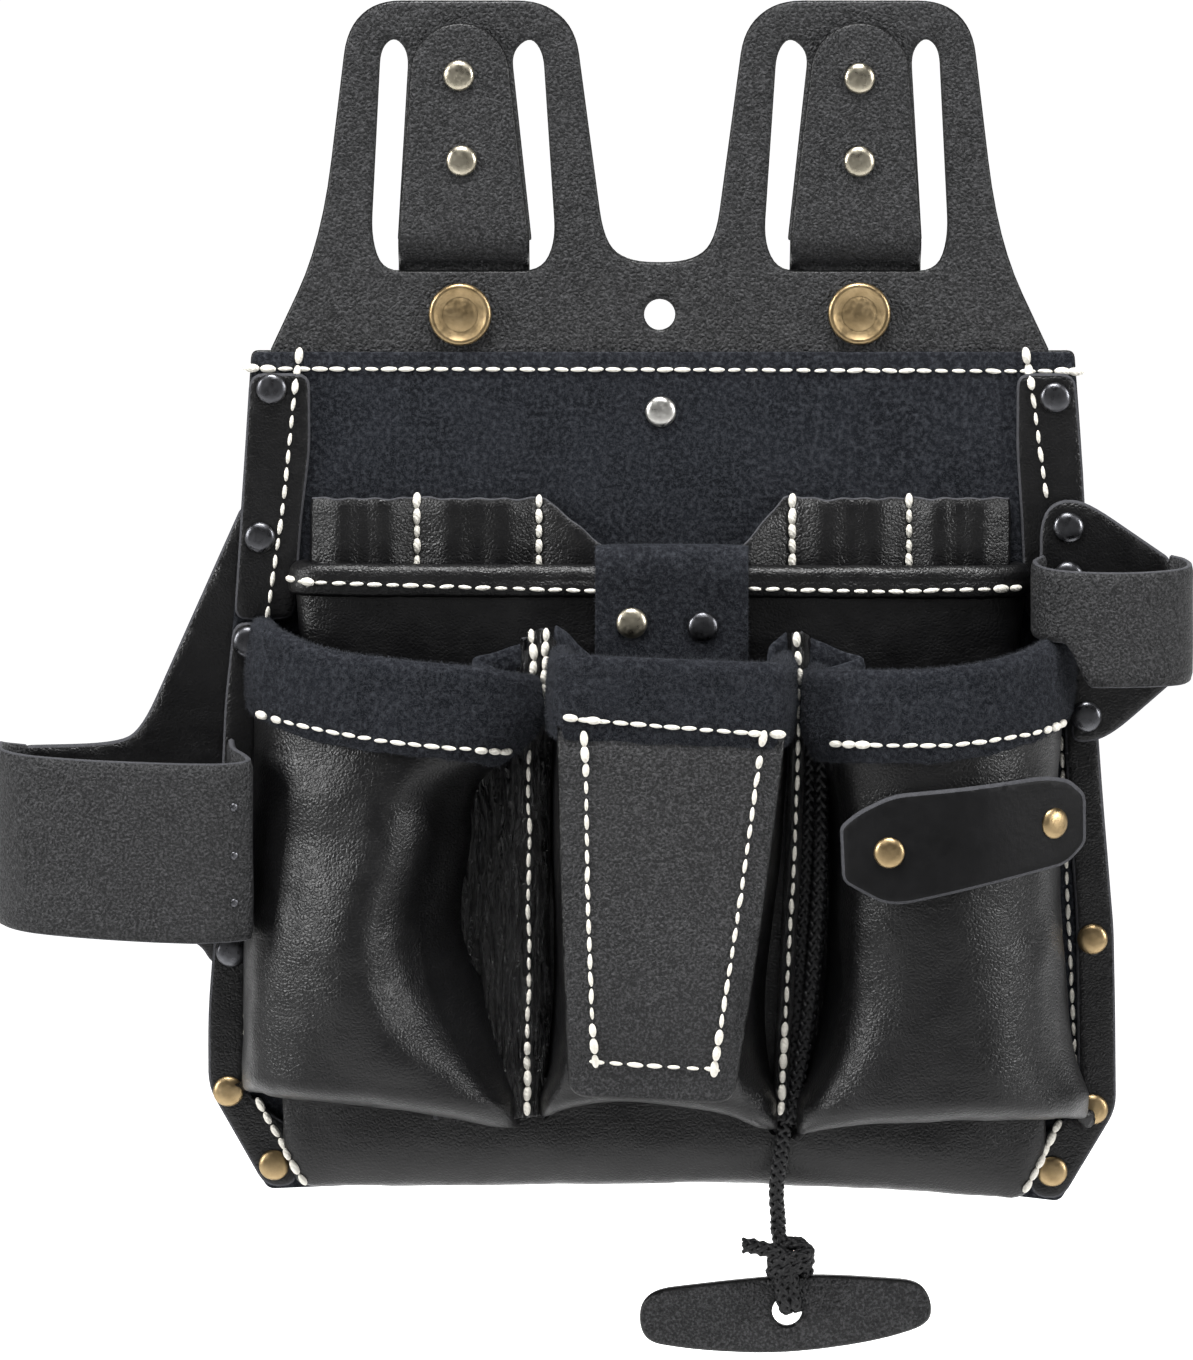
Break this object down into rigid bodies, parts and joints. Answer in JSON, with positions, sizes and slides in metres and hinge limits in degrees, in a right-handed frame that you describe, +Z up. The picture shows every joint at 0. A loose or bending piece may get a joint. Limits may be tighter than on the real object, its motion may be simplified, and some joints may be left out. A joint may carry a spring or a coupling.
{
  "type": "electrician tool pouch",
  "caption": "Black leather belt pouch with slotted hangers, suede-bound front pockets, pen slots, side tool loops and a cord with a leather toggle.",
  "frame": {"origin": "on the yoke's back face, on the centreline, between the hanging hole and the notch of the belt hangers", "axes": "+Y towards the wearer's hip, +Z up, +X to the right of the front view"},
  "size_m": [0.3239, 0.0637, 0.3672],
  "materials": {
    "pebbled_leather": "fine pebbled grain, matte",
    "smooth_leather": "smooth, soft satin",
    "suede": "napped suede",
    "label_leather": "smooth, thick, cut edge",
    "gunmetal": "dark gunmetal, satin",
    "antique_brass": "antique, satin",
    "pale_nickel": "pale, satin",
    "silver": "satin",
    "cord": "braided polyester, matte"
  },
  "bodies": {
    "hanger": {"yoke": "pebbled_leather", "belt_strap_left": "pebbled_leather", "belt_strap_right": "pebbled_leather", "rivet_strap_left_top": "pale_nickel", "rivet_strap_left_low": "pale_nickel", "rivet_strap_right_top": "pale_nickel", "rivet_strap_right_low": "pale_nickel", "cap_left": "antique_brass", "cap_right": "antique_brass"},
    "pouch": {"yoke_lower": "pebbled_leather", "back_panel": "pebbled_leather", "edge_strip_left": "pebbled_leather", "edge_strip_right": "pebbled_leather", "centre_patch": "pebbled_leather", "gusset_left": "pebbled_leather", "gusset_right": "pebbled_leather", "left_loop_wing": "pebbled_leather", "left_loop_band": "pebbled_leather", "right_loop_ear": "pebbled_leather", "right_loop_band": "pebbled_leather", "side_strip_left": "smooth_leather", "side_strip_right": "smooth_leather", "mid_pocket": "smooth_leather", "mid_pocket_roll": "smooth_leather", "pen_strip_left": "smooth_leather", "pen_strip_right": "smooth_leather", "left_pocket": "smooth_leather", "centre_pocket": "smooth_leather", "right_pocket": "smooth_leather", "suede_panel": "suede", "suede_tab": "suede", "left_binding": "suede", "centre_binding": "suede", "right_binding": "suede", "label_patch": "label_leather", "rivet_left_top": "gunmetal", "rivet_left_upper": "gunmetal", "rivet_left_middle": "gunmetal", "rivet_left_lower": "gunmetal", "rivet_right_top": "gunmetal", "rivet_right_upper": "gunmetal", "rivet_right_middle": "gunmetal", "rivet_right_waist": "gunmetal", "rivet_tab_right": "gunmetal", "rivet_left_bottom": "antique_brass", "rivet_left_corner": "antique_brass", "rivet_right_lower": "antique_brass", "rivet_right_bottom": "antique_brass", "rivet_right_corner": "antique_brass", "rivet_label_left": "antique_brass", "rivet_label_right": "antique_brass", "rivet_tab_left": "pale_nickel", "rivet_centre": "silver"},
    "cord": {"toggle_cord": "cord"},
    "toggle_end": {"cord_knot": "cord", "cord_loop": "cord", "toggle": "pebbled_leather"}
  },
  "joints": [
    {"name": "pouch_swing", "type": "hinge", "parent": "hanger", "child": "pouch", "pos_m": [0, -0.0052, -0.0185], "axis": [-1, 0, 0], "range_deg": [0, 40]},
    {"name": "cord_swing", "type": "hinge", "parent": "pouch", "child": "cord", "pos_m": [0.0404, -0.027, -0.119], "axis": [-1, 0, 0], "range_deg": [0, 100]},
    {"name": "toggle_spin", "type": "hinge", "parent": "cord", "child": "toggle_end", "pos_m": [0.0348, -0.019, -0.2626], "axis": [0, 0, 1], "range_deg": [-90, 90]}
  ]
}
